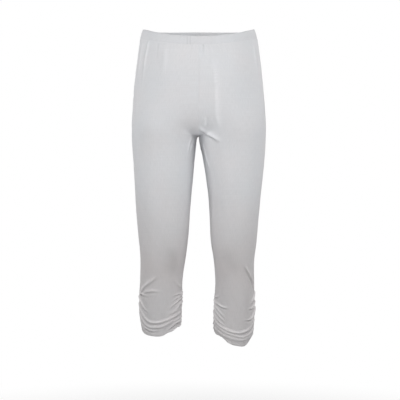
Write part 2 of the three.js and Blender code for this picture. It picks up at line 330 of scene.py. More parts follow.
def row_heights(rows, front, t):
    """Heights of a grid of points, from its rows' (outer, middle, inner) heights and shares t."""
    outer, middle, inner = (rows[:, k:k + 1] for k in range(3))
    sag = ((outer + inner) / 2 - middle) * (1.0 if front else BACK_SAG)
    level = outer + (inner - outer) * t - sag * np.sin(math.pi * t)
    p = (1 + np.cos(math.pi * t)) / 2
    tilt = smooth01((level - DIP_ENDS) / -DIP_ENDS) * np.maximum(1 - p * p, 0.0) ** TILT_POWER
    return level + tilt * (-FRONT_DIP if front else BACK_RISE)


def hem_rise(rows, side, front, t):
    """How far the rows above a hem are drawn up with it, most at the hem itself."""
    down = np.clip((RUCHING_TOP - rows[:, :1]) / (RUCHING_TOP - HEMS[side].outer), 0, 1) ** 3
    rise = 0.0
    for place, spread, size in HEM_RISES[side, front]:
        rise = rise + size * bell((t - place) / spread)
    return down * rise * np.sin(math.pi * t)


def cloth_points(side, front, t, z, grow=0.0):
    """Points of the cloth's outer face, grown outwards by grow."""
    outer, inner = read_table(OUTLINE[side], z)
    ahead, behind = read_table(DEPTH, z)
    reach = (ahead + behind) / 2 + grow
    p = (1 + np.cos(math.pi * t)) / 2
    x = inner * (1 - arch_gap(p, z)) + (outer + grow - inner) * p
    y = (behind - ahead) / 2 + (-reach if front else reach) * depth_share(p, z, front)
    return np.stack([x if side == "left" else -x, y, z + 0 * x], axis=-1)


# ------ grids

ACROSS = 124                # steps across a panel
CROWDING = 0.6              # how much closer together the steps are beside a seam
HIP_STEP = 3.4              # spacing of the rows on the hips and thighs
TOP_ROWS = (0.4, 1.2)       # distances below the waist seam of two more rows
FORK_STEPS = 44
ARCH_STEPS = 8
ARCH_EASE = 1.6             # how much closer together those rows start
RUCHED_STEPS = 150


def panel_shares():
    """Shares across a panel, closer together at its two seams."""
    even = np.linspace(0, 1, ACROSS + 1)
    return even - CROWDING * np.sin(2 * math.pi * even) / (2 * math.pi)


def panel_rows(side):
    """(outer, middle, inner) heights of every row, from the waist seam down to the hem."""
    steps = round((-BAND_HEIGHT - FORK_TOP) / HIP_STEP)
    hips = np.linspace(-BAND_HEIGHT, FORK_TOP, steps, endpoint=False)
    hips = np.insert(hips, 1, [-BAND_HEIGHT - below for below in TOP_ROWS])
    turn = np.sin(np.linspace(0, math.pi / 2, FORK_STEPS + 1)) ** (2 / FRONT_FORK)
    fork = FORK_TOP + (CROTCH - FORK_TOP) * turn
    under = CROTCH - np.linspace(0, 1, ARCH_STEPS + 1)[1:] ** ARCH_EASE * ARCH
    legs = np.linspace(under[-1], RUCHING_TOP, round((under[-1] - RUCHING_TOP) / HIP_STEP) + 1)[1:]
    level = np.concatenate([hips, fork, under, legs])
    rows = np.stack([level] * 3, axis=1)
    share = np.linspace(0, 1, RUCHED_STEPS + 1)[1:, None]
    ruched = RUCHING_TOP + (np.array(HEMS[side]) - RUCHING_TOP) * share
    return np.concatenate([rows, ruched])


def unit(v):
    return v / np.maximum(np.linalg.norm(v, axis=-1, keepdims=True), 1e-12)


def outward(points, side, front):
    """Directions out of a panel's grid, which lie in the seams' own planes along its edges."""
    across = np.empty_like(points)
    across[:, 1:-1] = points[:, 2:] - points[:, :-2]
    across[:, 0] = points[:, 1] - points[:, 0]
    across[:, -1] = points[:, -1] - points[:, -2]
    down = np.gradient(points, axis=0)
    n = np.cross(across, down) * (1.0 if (side == "left") == front else -1.0)
    n[:, 0, 1] = 0.0
    below = points[:, -1, 2] < CROTCH - ARCH / 3
    n[:, -1, 1] = np.where(below, 0.0, n[:, -1, 1])
    above = points[:, -1, 2] >= CROTCH - 1e-6
    turn = fork_turn(points[:, -1, 2])
    face = -1.0 if front else 1.0
    power = FRONT_FORK if front else BACK_FORK
    level = (1 - turn ** power) ** ((power - 1) / power)
    curve = np.stack([0 * turn, face * level, -turn ** (power - 1)], axis=-1)
    n[:, -1] = np.where(above[:, None], curve, n[:, -1])
    return unit(n)


def arc_lengths(points):
    """Distance of each point of a grid from its row's first point, along the row."""
    steps = np.linalg.norm(np.diff(points, axis=1), axis=-1)
    return np.concatenate([np.zeros((len(points), 1)), np.cumsum(steps, axis=1)], axis=1)


# ------ folds


def waver(a, b, waves):
    """An uneven field made of a few fixed waves, each (size, wavelength along a, along b, start)."""
    total = 0.0
    for size, along_a, along_b, start in waves:
        total = total + size * np.sin(2 * math.pi * (a / along_a + b / along_b) + start)
    return total


def curve_through(points, count=64):
    """Evenly numbered points on a smooth curve through a short list of points."""
    points = np.asarray(points, float)
    ends = np.concatenate([[2 * points[0] - points[1]], points, [2 * points[-1] - points[-2]]])
    spans = len(points) - 1
    place = np.linspace(0, spans, count)
    k = np.minimum(place.astype(int), spans - 1)
    f = (place - k)[:, None]
    p0, p1, p2, p3 = (ends[k + n] for n in range(4))
    return 0.5 * (2 * p1 + (p2 - p0) * f + (2 * p0 - 5 * p1 + 4 * p2 - p3) * f ** 2
                  + (3 * p1 - p0 - 3 * p2 + p3) * f ** 3)


def lay_flat(path, t, arc, height):
    """A path's (share, height) points as (distance from the side seam, height)."""
    flat = []
    for share, level in path:
        column = int(np.argmin(np.abs(t - share)))
        row = np.argmin(np.abs(height[:, column] - level))
        flat.append((arc[row, column], level))
    return flat


TROUGH_PLACE = 2.1          # where the trough below a fold lies, in spreads of the fold
TROUGH_WIDTH = 1.1
UPRIGHT_BELOW = 0.3         # a path that runs less across than this has its trough beside it


def fold_height(fold, t, arc, height):
    """How far a fold lifts each point of a panel."""
    above, below, trough, _ = fold.shape
    line = curve_through(lay_flat(fold.path, t, arc, height))
    reach = 4 * max(above, below)
    lo, hi = line.min(axis=0) - reach, line.max(axis=0) + reach
    near = (arc > lo[0]) & (arc < hi[0]) & (height > lo[1]) & (height < hi[1])
    lifted = np.zeros_like(arc)
    if not near.any():
        return lifted
    spots = np.stack([arc[near], height[near]], axis=-1)
    step = unit(np.gradient(line, axis=0))
    under = np.stack([step[:, 1], -step[:, 0]], axis=-1)
    if abs(step[:, 0]).mean() > UPRIGHT_BELOW:
        under *= np.where(under[:, 1:] > 0, -1.0, 1.0)
    gap = spots[:, None, :] - line[None, :, :]
    nearest = np.argmin((gap ** 2).sum(-1), axis=1)
    off = gap[np.arange(len(spots)), nearest]
    side = (off * under[nearest]).sum(-1)
    beyond = np.abs((off * step[nearest]).sum(-1))
    ridge = bell(side / np.where(side < 0, above, below))
    dip = trough * bell((side - TROUGH_PLACE * below) / (TROUGH_WIDTH * below))
    along = nearest / (len(line) - 1)
    envelope = 1.0
    if fold.fade[0]:
        envelope = envelope * smooth01(along / fold.fade[0])
    if fold.fade[1]:
        envelope = envelope * smooth01((1 - along) / fold.fade[1])
    lifted[near] = fold.lift * envelope * (ridge - dip) * bell(beyond / above)
    return lifted


DROOP = 0.5                 # how far a fold's crest hangs down, for each millimetre of its lift
CREST_LIFT = 2.2            # height of a fold whose crest gets the full painted highlight
TROUGH_TONE = 0.8           # the most painted shade in a trough, as a share of that
CROTCH_PAINTED_LIGHT = 1.6                # painted light where the crotch turns under into shade
CROTCH_PAINTED_ACROSS = 32.0        # and how far from the seam
CROTCH_PAINTED_DOWN = 22.0
THIGH_PAINTED_LIGHT = 1.15               # the same painted light along the inner thigh, where the legs shade each other, as a share of the crotch's
THIGH_PAINTED_ACROSS = 14.0
THIGH_PAINTED_END = -560.0         # height where that has faded out
THIGH_PAINTED_FADE = 200.0
EDGE_HELD = 3.0             # distance within which a seam holds the cloth flat
TOP_LIFT = 0.6              # how far the panels rise to meet the waistband
TOP_REACH = 7.0
GATHER_START = 4.0          # how far below the waist seam its gathers are at their full size
GATHER_REACH = 26.0         # and how far they run down
HEM_LIFT = 0.45             # how far the doubled hem stands out
HEM_EDGE = 1.5              # and over what distance it does
SEAM_GROOVE = 0.5           # how deep a seam is drawn in
SEAM_REACH = 1.5            # and how far from the seam
CENTRE_GROOVE = 0.35        # the centre seam's groove, as a share of SEAM_GROOVE
CENTRE_RIPPLE = 0.06        # how far its stitches ripple it
CENTRE_WAVE = 1.9           # and how quickly
PUCKER = 1.8                # height of the gathers along a ruched seam
PUCKER_REACH = 12.0         # how far they run out from it
PUCKER_HELD = 0.6           # their height on the seam itself, as a share of PUCKER
PUCKER_PITCH = 8.5
PUCKER_DRIFT = ((1.3, 9.7), (0.9, 23.0))    # how far their spacing wanders, over what height
PUCKER_CHANGE = (0.25, 13.0)    # how much their size changes, and over what height
PUCKER_SHARP = 1.6          # how much narrower their crests are than the gaps between
PUCKER_SLOPE = 1.0          # how far they hang, for each millimetre away from it
PUCKER_STARTS = {"outer_right": 0.4, "inner_right": 1.9, "outer_left": 3.3, "inner_left": 5.1}
PUCKER_FADE = (22.0, 34.0)  # how far below the ruching's top they begin, and how slowly
HEM_FADE = (14.0, 6.0)      # how far below the seam's end they stop, and how quickly


def pucker_wave(height, seam):
    """The gathers along one ruched seam, sharp-crested and uneven in spacing and size."""
    start = PUCKER_STARTS[seam]
    phase = 2 * math.pi * height / PUCKER_PITCH
    for number, (drift, reach) in enumerate(PUCKER_DRIFT, 1):
        phase = phase + drift * np.sin(height / reach + number * start)
    change, reach = PUCKER_CHANGE
    size = 1 - change + change * np.sin(height / reach + 1.7 * start)
    crest = np.exp(PUCKER_SHARP * (np.sin(phase + start) - 1))
    return size * (1.5 * crest - 0.5)


def ruched_share(height, side):
    """0 above the ruching and 1 in it."""
    below_top = RUCHING_TOP - PUCKER_FADE[0] - height
    above_hem = height - HEMS[side].outer + HEM_FADE[0]
    return smooth01(below_top / PUCKER_FADE[1]) * smooth01(above_hem / HEM_FADE[1])


def seam_lift(height, seam, side):
    """How far a seam's own edge stands out or in, the same for both of its panels."""
    if seam == "centre":
        return -SEAM_GROOVE * CENTRE_GROOVE + CENTRE_RIPPLE * np.sin(height / CENTRE_WAVE)
    wave = pucker_wave(height, f"{seam}_{side}")
    ruched = ruched_share(height, side)
    return -SEAM_GROOVE + PUCKER_HELD * PUCKER * wave * ruched


def near_seam(distance, height, seam, side):
    """Gathers beside a seam, which hang away from it and die out, and the seam's groove."""
    groove = bell(distance / SEAM_REACH)
    lift = seam_lift(height, seam, side) * groove
    if seam != "centre":
        hanging = height + PUCKER_SLOPE * distance
        wave = pucker_wave(hanging, f"{seam}_{side}") * ruched_share(height, side)
        lift = lift + (1 - groove) * PUCKER * wave * np.exp(-distance / PUCKER_REACH)
    return lift


WAVE_STARTS = {
    ("right", True): 0.3, ("left", True): 1.7, ("right", False): 3.1, ("left", False): 4.4,
}


def unevenness(arc, height, side, front):
    """Slow waves that keep the stretched cloth from looking cast."""
    turn = WAVE_STARTS[side, front]
    broad = waver(arc, height, (
        (0.45, 97, 260, turn), (0.35, -143, 181, 2 * turn), (0.22, 61, -330, 3 * turn)))
    fine = waver(arc, height, (
        (0.10, 34, 75, turn), (0.08, -27, 58, 1.3 * turn), (0.05, 19, -41, 2.1 * turn)))
    return broad + fine


def gathers_at_waist(arc, height, top, side, front):
    """Small upright gathers where the elastic draws the panels in."""
    turn = 0.9 if side == "right" else 2.6
    wave = waver(arc, height * 0, ((0.30, 11.3, 1, turn), (0.22, 7.9, 1, 2 * turn),
                                   (0.20, 17.7, 1, 3 * turn + front)))
    below = top - height
    return wave * np.exp(-below / GATHER_REACH) * smooth01(below / GATHER_START)


def seam_gathers(arc, to_inner, height, side, leg):
    """What the seams at both edges of a panel do to the cloth beside them."""
    pleats = near_seam(arc, height, "outer", side)
    pleats += near_seam(to_inner, height, "inner", side) * leg
    pleats += near_seam(to_inner, height, "centre", side) * (1 - leg)
    return pleats


def painted_light_and_shade(standing, to_inner, height, leg):
    """Painted highlight and shade of the folds, and painted light at the shaded crotch and inner thigh.
    """
    crest = np.clip(standing / CREST_LIFT, -TROUGH_TONE, 1.0)
    crotch_painted = np.exp(-(to_inner / CROTCH_PAINTED_ACROSS) ** 2 - ((height - CROTCH) / CROTCH_PAINTED_DOWN) ** 2)
    thigh_painted = bell(to_inner / THIGH_PAINTED_ACROSS) * leg
    thigh_painted = thigh_painted * smooth01((height - THIGH_PAINTED_END) / THIGH_PAINTED_FADE)
    return crest + CROTCH_PAINTED_LIGHT * np.maximum(crotch_painted, THIGH_PAINTED_LIGHT * thigh_painted)


def displace(points, side, front, t):
    """A panel's grid moved into its creases, its arc lengths, and its painted light and shade."""
    arc = arc_lengths(points)
    height = points[..., 2]
    out = outward(points, side, front)
    lift = unevenness(arc, height, side, front)
    lift += gathers_at_waist(arc, height, height[:1], side, front)
    folds = np.zeros_like(lift)
    for fold in FOLDS[side, front]:
        folds += fold_height(fold, t, arc, height)
    to_inner = arc[:, -1:] - arc
    free = (1 - bell(arc / EDGE_HELD)) * (1 - bell(to_inner / EDGE_HELD))
    leg = smooth01((CROTCH - height) / ARCH)
    pleats = seam_gathers(arc, to_inner, height, side, leg)
    # painted highlight and shade from the folds and puckers, and painted light at the crotch and inner
    # thigh
    crest = painted_light_and_shade(folds * free + pleats, to_inner, height, leg)
    lift = (lift + folds) * free + pleats
    doubled = height[-1:] + HEM_TURN - height
    lift += HEM_LIFT * smooth01(doubled / HEM_EDGE) * free
    lift += TOP_LIFT * bell((height[:1] - height) / TOP_REACH)
    moved = points + out * lift[..., None]
    moved[..., 2] -= DROOP * np.maximum(folds, 0) * free
    return moved, arc, crest


# ------ meshes


def add_object(name, data):
    obj = bpy.data.objects.new(name, data)
    bpy.context.collection.objects.link(obj)
    return obj


def make_mesh(name, vertices, faces, cloth=None):
    """A smooth-shaded object from vertices in millimetres, faces and places on the cloth."""
    mesh = bpy.data.meshes.new(name)
    mesh.from_pydata((np.asarray(vertices).reshape(-1, 3) * MM).tolist(), [], faces)
    if cloth is not None:
        layer = mesh.uv_layers.new(name="Cloth")
        corner = np.empty(len(mesh.loops), dtype=np.int32)
        mesh.loops.foreach_get("vertex_index", corner)
        layer.data.foreach_set("uv", (np.asarray(cloth).reshape(-1, 2)[corner] * MM).ravel())
    mesh.polygons.foreach_set("use_smooth", np.ones(len(mesh.polygons), dtype=bool))
    mesh.update()
    return add_object(name, mesh)


def grid_quads(index):
    """Quads between the neighbouring rows and columns of a grid of vertex numbers."""
    a, b = index[:-1, :-1].ravel(), index[1:, :-1].ravel()
    c, d = index[1:, 1:].ravel(), index[:-1, 1:].ravel()
    return np.stack([a, b, c, d], axis=1)


def add_float(obj, name, values):
    """A named number on each vertex, for the materials."""
    layer = obj.data.attributes.new(name, "FLOAT", "POINT")
    layer.data.foreach_set("value", np.asarray(values, dtype=np.float32).ravel())


def both_faces(grid):
    """A grid's rows down the outside, round the rim, up the inside and over the top."""
    return np.concatenate([grid, grid[-1:], grid[::-1], grid[:1]])


def shell_faces(count, columns):
    """Faces of a closed shell whose loops run as in both_faces, and of its two side edges."""
    index = np.arange((2 * count + 2) * columns).reshape(-1, columns)
    faces = grid_quads(np.concatenate([index, index[:1]])).tolist()
    rim, top = index[count], index[-1]
    for column, flip in ((0, 1), (columns - 1, -1)):
        outside, inside = index[:count, column], index[count + 1:-1, column][::-1]
        strip = np.stack([outside[:-1], inside[:-1], inside[1:], outside[1:]], axis=1).tolist()
        strip.append([int(outside[-1]), int(inside[-1]), int(rim[column])])
        strip.append([int(outside[0]), int(top[column]), int(inside[0])])
        faces += [face[::flip] for face in strip]
    return faces


RIGHT_START = 400.0         # keeps the right panels' places on the cloth away from the left's


class Panel(NamedTuple):
    """A panel's piece, and its outer face as a grid: points, ways out and undisturbed heights."""
    piece: object
    outer: np.ndarray
    out: np.ndarray
    height: np.ndarray


def build_panel(side, front):
    """One panel: a thin shell in its creases, with closed edges."""
    rows = panel_rows(side)
    t = panel_shares()
    height = row_heights(rows, front, t[None, :]) + hem_rise(rows, side, front, t)
    smooth = cloth_points(side, front, t[None, :], height)
    outer, arc, crest = displace(smooth, side, front, t)
    out = outward(outer, side, front)
    doubled = smooth01((height[-1:] + HEM_TURN - height) / HEM_TAPER)
    inner = outer - out * (CLOTH + (HEM_CLOTH - CLOTH) * doubled)[..., None]
    middle = (outer + inner) / 2
    rim = middle[-1] - np.array([0.0, 0.0, HEM_CLOTH / 2])
    loops = np.concatenate([outer, rim[None], inner[::-1], middle[:1]])
    faces = shell_faces(*arc.shape)
    if (side == "left") != front:
        faces = [face[::-1] for face in faces]
    places = np.stack([arc if side == "left" else arc + RIGHT_START, -height], axis=-1)
    name = f"cloth_{'front' if front else 'back'}_{side}"
    piece = make_mesh(name, loops, faces, both_faces(places))
    seam = np.minimum(arc, arc[:, -1:] - arc)
    add_float(piece, "to_seam", both_faces(seam))
    # the painted light and shade, read by the material
    add_float(piece, "crest", both_faces(crest))
    return Panel(piece, outer, out, height)


# ------ waistband

BAND_COLUMNS = 110          # in each quarter
BAND_EDGE = 1.6             # radius of the fold at its top
BAND_BELLY = 0.35           # how far the elastic rounds it out
BAND_TUCK = 0.2             # how far its seam draws it in
TUCK_REACH = 1.2
BAND_ROWS = 18              # rows of its section up the outside, closest together at its seam
BAND_EASE = 1.3
TURN_ROWS = 13              # over the fold
INSIDE_ROWS = 12            # down the inside
OUTSIDE_ROWS = BAND_ROWS + TURN_ROWS // 2 + 1
JOIN_WIDTH = 1.3
JOIN_DEPTH = 0.35
JOIN_TONE = 0.6             # how dark the marks are, as a share of a trough
JOIN_PLACES = (-29.0, -21.3)    # upright marks near the centre front, where its ends are joined
# Fine upright ripples: size, number of them round the waist, start.
RIPPLES = ((0.16, 97, 0.4), (0.13, 71, 2.2), (0.10, 53, 4.0), (0.12, 29, 1.1))
RIPPLE_CHANGE = 0.45        # how much shallower they are halfway up


def band_profile():
    """The band's section as rows of (height, distance out from the panels' surface)."""
    straight = BAND_HEIGHT - BAND_EDGE
    up = np.linspace(0, 1, BAND_ROWS + 1)[:-1] ** BAND_EASE
    belly = BAND_BELLY * np.sin(math.pi * up)
    tuck = BAND_TUCK * np.exp(-up * straight / TUCK_REACH)
    outside = np.stack([-BAND_HEIGHT + up * straight, BAND_PROUD + belly - tuck], axis=1)
    turn = np.linspace(0, math.pi, TURN_ROWS)
    middle = BAND_PROUD - BAND_EDGE
    fold = np.stack([BAND_EDGE * (np.sin(turn) - 1), middle + BAND_EDGE * np.cos(turn)], axis=1)
    down = np.linspace(0, 1, INSIDE_ROWS + 1)[1:]
    inside = np.stack([-BAND_EDGE - down * straight,
                       BAND_PROUD - BAND_WALL - BAND_BELLY * np.sin(math.pi * down)], axis=1)
    return np.concatenate([outside, fold, inside])


def band_ripple(around, length, height):
    """The ripples of the drawn-in elastic, deepest at the band's two edges."""
    ripple = 0.0
    for size, count, start in RIPPLES:
        ripple = ripple + size * np.sin(2 * math.pi * count * around / length + start)
    edge = np.cos(math.pi * (height / BAND_HEIGHT + 1)) ** 2
    return ripple * (1 - RIPPLE_CHANGE + RIPPLE_CHANGE * edge)


def band_ring(rows, grow):
    """The band's rows of points, all round the waist, grown outwards by grow."""
    steps = np.arange(BAND_COLUMNS) / BAND_COLUMNS
    quarters = (("left", False, steps), ("right", False, 1 - steps),
                ("right", True, steps), ("left", True, 1 - steps))
    parts = []
    for number, (side, front, t) in enumerate(quarters):
        z = row_heights(rows, front, t[None, :])
        mine = grow[:, number * BAND_COLUMNS:(number + 1) * BAND_COLUMNS]
        parts.append(cloth_points(side, front, t[None, :], z, mine))
    return np.concatenate(parts, axis=1)


def join_marks(points):
    """-1 in the upright marks at the centre front, and 0 away from them."""
    marks = 0.0
    for place in JOIN_PLACES:
        marks = marks - bell((points[..., 0] - place) / JOIN_WIDTH) * (points[..., 1] < 0)
    return marks


def build_waistband():
    """The waistband, one closed ring of folded jersey with elastic inside."""
    profile = band_profile()
    rows = np.repeat(profile[:, :1], 3, axis=1)
    grow = np.repeat(profile[:, 1:], 4 * BAND_COLUMNS, axis=1)
    points = band_ring(rows, grow)
    closed = np.concatenate([points, points[:, :1]], axis=1)
    around = arc_lengths(closed)
    ripple = band_ripple(around[:, :-1], around[:, -1:], profile[:, :1])
    outside = np.arange(len(profile))[:, None] < OUTSIDE_ROWS
    marks = join_marks(points) * outside
    grow = grow + np.where(outside, ripple, -ripple) + JOIN_DEPTH * marks
    points = band_ring(rows, grow)
    count, columns = points.shape[:2]
    index = np.arange(count * columns).reshape(count, columns)
    index = np.concatenate([index, index[:1]])
    index = np.concatenate([index, index[:, :1]], axis=1)
    down = arc_lengths(profile[None]).T + 0 * ripple
    places = np.stack([around[:, :-1], down], axis=-1)
    piece = make_mesh("band", points, grid_quads(index).tolist(), places)
    add_float(piece, "to_seam", np.minimum(down, down[-1:] - down))
    add_float(piece, "crest", JOIN_TONE * marks)
    return piece


# ------ stitching

STITCH = 2.6                # length of a stitch
STITCH_GAP = 0.7
THREAD = 0.24               # radius of the thread
HEM_ROWS = (13.0, 17.0)     # heights of the two rows above the hem
STITCH_SIDES = 6
# A stitch from end to end: share of its length, share of its radius, height above the cloth.
STITCH_FORM = np.array([
    (0.0, 0.35, -0.10), (0.12, 0.9, 0.10), (0.5, 1.0, 0.16), (0.88, 0.9, 0.10),
    (1.0, 0.35, -0.10),
])


def seam_line(panel, above):
    """Points and ways out along a panel's outer face, at one distance above its hem."""
    places, ways = [], []
    for column in range(panel.height.shape[1]):
        heights = panel.height[::-1, column]
        row = np.interp(heights[0] + above, heights, np.arange(len(heights)))
        below = min(int(row), len(heights) - 2)
        f = row - below
        for found, grid in ((places, panel.outer), (ways, panel.out)):
            line = grid[::-1, column]
            found.append(line[below] * (1 - f) + line[below + 1] * f)
    return np.array(places), unit(np.array(ways))


def stitches_on(places, ways):
    """Vertices and faces of a row of short rounded stitches along a line on the cloth."""
    along = arc_lengths(places[None])[0]
    count = int(along[-1] / (STITCH + STITCH_GAP))
    pitch = along[-1] / count
    share, girth, rise = STITCH_FORM.T
    spots = (np.arange(count)[:, None] + 0.5) * pitch + (share - 0.5) * (pitch - STITCH_GAP)
    at = np.stack([np.interp(spots, along, places[:, k]) for k in range(3)], axis=-1)
    up = unit(np.stack([np.interp(spots, along, ways[:, k]) for k in range(3)], axis=-1))
    side = unit(np.cross(np.gradient(at, axis=1), up))
    turn = np.arange(STITCH_SIDES) * 2 * math.pi / STITCH_SIDES
    round_it = up[..., None, :] * np.cos(turn)[:, None] + side[..., None, :] * np.sin(turn)[:, None]
    rings = (at + up * rise[:, None])[..., None, :] + round_it * (THREAD * girth)[:, None, None]
    faces = []
    index = np.arange(rings[..., 0].size).reshape(rings.shape[:3])
    for stitch in index:
        faces += grid_quads(np.concatenate([stitch, stitch[:, :1]], axis=1)).tolist()
        faces += [stitch[0].tolist(), stitch[-1, ::-1].tolist()]
    return rings.reshape(-1, 3), faces


def build_hem_stitches(side, panels):
    """Two rows of twin-needle stitches round one hem."""
    vertices, faces, first = [], [], 0
    for panel in panels:
        for above in HEM_ROWS:
            found, corners = stitches_on(*seam_line(panel, above))
            vertices.append(found)
            faces += [[first + corner for corner in face] for face in corners]
            first += len(found)
    return make_mesh(f"hem_stitches_{side}", np.concatenate(vertices), faces)


# ------ materials


class Nodes:
    """Short names for adding nodes to the tree of a material or world."""

    def __init__(self, owner):
        owner.use_nodes = True
        self.owner = owner
        self.tree = owner.node_tree
        self.shader = self.tree.nodes.get("Principled BSDF")

    def join(self, output, socket):
        self.tree.links.new(output, socket)

    def add(self, kind, inputs=(), **settings):
        """A node with its settings, and its inputs given as (socket, link or value) pairs."""
        node = self.tree.nodes.new(kind)
        for name, value in settings.items():
            setattr(node, name, value)
        for socket, value in inputs:
            if isinstance(value, bpy.types.NodeSocket):
                self.join(value, node.inputs[socket])
            else:
                node.inputs[socket].default_value = value
        return node

    def math(self, operation, *values):
        return self.add("ShaderNodeMath", enumerate(values), operation=operation).outputs[0]

    def times(self, first, second):
        """The product of two vectors or colours."""
        return self.add("ShaderNodeVectorMath", [(0, first), (1, second)],
                        operation="MULTIPLY").outputs[0]

    def step(self, value, low, high, start=0.0, end=1.0):
        """A soft step from start to end while value goes from low to high."""
        ends = [("Value", value), ("From Min", low), ("From Max", high), ("To Min", start),
                ("To Max", end)]
        return self.add("ShaderNodeMapRange", ends, interpolation_type="SMOOTHSTEP").outputs[0]

    def noise(self, place, scale, detail=2.0):
        node = self.add("ShaderNodeTexNoise", [("Vector", place), ("Scale", scale),
                                               ("Detail", detail)])
        return node.outputs["Fac"]

    def bump(self, height, distance, under=None):
        links = [("Height", height), ("Distance", distance), ("Strength", 1.0)]
        if under is not None:
            links.append(("Normal", under))
        return self.add("ShaderNodeBump", links).outputs["Normal"]

    def mixed(self, share, first, second):
        node = self.add("ShaderNodeMix", [(0, share), (6, first), (7, second)], data_type="RGBA")
        return node.outputs[2]


WHITE = (1, 1, 1, 1)
JERSEY_COOL = (0.70, 0.72, 0.745, 1)
JERSEY_WARM = (0.725, 0.713, 0.725, 1)
BAND_COOL = (0.68, 0.70, 0.725, 1)
BAND_WARM = (0.70, 0.693, 0.706, 1)
THREAD_DARK = (0.50, 0.51, 0.53, 1)
THREAD_PALE = (0.64, 0.65, 0.66, 1)
HEM_PAINTED_SHADE = (0.905, 0.872, 0.855, 1)     # painted shade: the cloth darker and warmer towards the hems, where the legs get less light
HEM_SHADE_FROM = 0.36            # distances below the waist between which it does, in metres
HEM_SHADE_TO = 0.62
CREST_TONE = 0.18           # strength of the painted highlight on a fold's crest and painted shade in its trough; the band's join marks use it too
WALE = 0.00085              # width of a column of loops, in metres
COURSE = 0.0006             # height of a row of loops
LOOP_SLANT = 0.8            # how far a loop's legs slant, in courses
GULLY = 0.8                 # depth of the gap between columns, as a share of a loop's height
CLOUDS = 9.0                # slow changes of shade, for each metre
CLOUD_SHARE = (1.4, -0.2)   # their contrast, and what brings them back to the middle
YARN = (900.0, 70.0, 1)     # streaks of uneven yarn, for each metre across and down
BARS = (12.0, 420.0, 1)     # faint bars along the courses
YARN_TONE = 0.16
BARS_TONE = 0.06
FULL_TONE = 0.89            # tone of the cloth without either
ROUGH = 0.72
YARN_ROUGH = 0.12
FUZZ = 1400.0
DENT_PITCH = 0.0027         # dents that the stitches make along a seam
DENT_DEPTH = 0.00012
DENT_REACH = (0.5, 2.2)     # millimetres from the seam between which they fade out
FUZZ_DEPTH = 0.00008
KNIT_DEPTH = 0.00004
TWIST = 2600.0              # grain of the thread, for each metre


def knit_height(nodes, place):
    """Height of the knit's face: columns of V-shaped loops."""
    split = nodes.add("ShaderNodeSeparateXYZ", [(0, place)])
    column = nodes.math("FRACT", nodes.math("DIVIDE", split.outputs[0], WALE))
    off = nodes.math("ABSOLUTE", nodes.math("MULTIPLY_ADD", column, 2.0, -1.0))
    row = nodes.math("DIVIDE", split.outputs[1], COURSE)
    loop = nodes.math("FRACT", nodes.math("MULTIPLY_ADD", off, -LOOP_SLANT, row))
    ridge = nodes.math("SINE", nodes.math("MULTIPLY", loop, math.pi))
    gully = nodes.math("MULTIPLY_ADD", nodes.math("POWER", off, 3.0), -GULLY, 1.0)
    return nodes.math("MULTIPLY", ridge, gully)


def jersey_material(name, cool, warm):
    """Single jersey with its knit, uneven yarn, the small dents of the seams' stitches, and painted
    light and shade.
    """
    nodes = Nodes(bpy.data.materials.new(name))
    place = nodes.add("ShaderNodeUVMap", uv_map="Cloth").outputs[0]
    cloud = nodes.math("MULTIPLY_ADD", nodes.noise(place, CLOUDS, 3.0), *CLOUD_SHARE)
    yarn = nodes.noise(nodes.times(place, YARN), 1.0)
    bars = nodes.noise(nodes.times(place, BARS), 1.0)
    tone = nodes.mixed(cloud, cool, warm)
    grain = nodes.math("MULTIPLY_ADD", yarn, YARN_TONE, nodes.math("MULTIPLY", bars, BARS_TONE))
    grain = nodes.math("ADD", grain, FULL_TONE)
    split = nodes.add("ShaderNodeSeparateXYZ", [(0, place)])
    # painted shade, darker and warmer down the legs towards the hems
    hem_shade = nodes.step(split.outputs[1], HEM_SHADE_FROM, HEM_SHADE_TO)
    toned = nodes.times(tone, nodes.mixed(hem_shade, WHITE, HEM_PAINTED_SHADE))
    # painted highlight on crests, painted shade in troughs, painted light at the crotch and inner
    # thigh; on the band, its dark join marks
    crest = nodes.add("ShaderNodeAttribute", attribute_name="crest").outputs["Fac"]
    grain = nodes.math("MULTIPLY", grain, nodes.math("MULTIPLY_ADD", crest, CREST_TONE, 1.0))
    shaded = nodes.add("ShaderNodeVectorMath", [(0, toned), (3, grain)], operation="SCALE")
    nodes.join(shaded.outputs[0], nodes.shader.inputs["Base Color"])

    seam = nodes.add("ShaderNodeAttribute", attribute_name="to_seam").outputs["Fac"]
    near = nodes.step(seam, *DENT_REACH, 1.0, 0.0)
    dent = nodes.math("SINE", nodes.math("MULTIPLY", split.outputs[1], 2 * math.pi / DENT_PITCH))
    dents = nodes.bump(nodes.math("MULTIPLY", near, dent), DENT_DEPTH)
    fuzz = nodes.bump(nodes.noise(place, FUZZ, 3.0), FUZZ_DEPTH, dents)
    knit = nodes.bump(knit_height(nodes, place), KNIT_DEPTH, fuzz)
    nodes.join(knit, nodes.shader.inputs["Normal"])
    rough = nodes.math("MULTIPLY_ADD", yarn, YARN_ROUGH, ROUGH)
    nodes.join(rough, nodes.shader.inputs["Roughness"])
    nodes.shader.inputs["Sheen Weight"].default_value = 0.16
    nodes.shader.inputs["Sheen Roughness"].default_value = 0.45
    nodes.shader.inputs["Specular IOR Level"].default_value = 0.3
    return nodes.owner


def thread_material():
    """Polyester sewing thread in the cloth's own colour, with its twist."""
    nodes = Nodes(bpy.data.materials.new("sewing_thread"))
    place = nodes.add("ShaderNodeTexCoord").outputs["Object"]
    fibre = nodes.noise(place, TWIST)
    tone = nodes.mixed(fibre, THREAD_DARK, THREAD_PALE)
    nodes.join(tone, nodes.shader.inputs["Base Color"])
    nodes.join(nodes.bump(fibre, FUZZ_DEPTH), nodes.shader.inputs["Normal"])
    nodes.shader.inputs["Roughness"].default_value = 0.5
    return nodes.owner


# ------ stage and camera

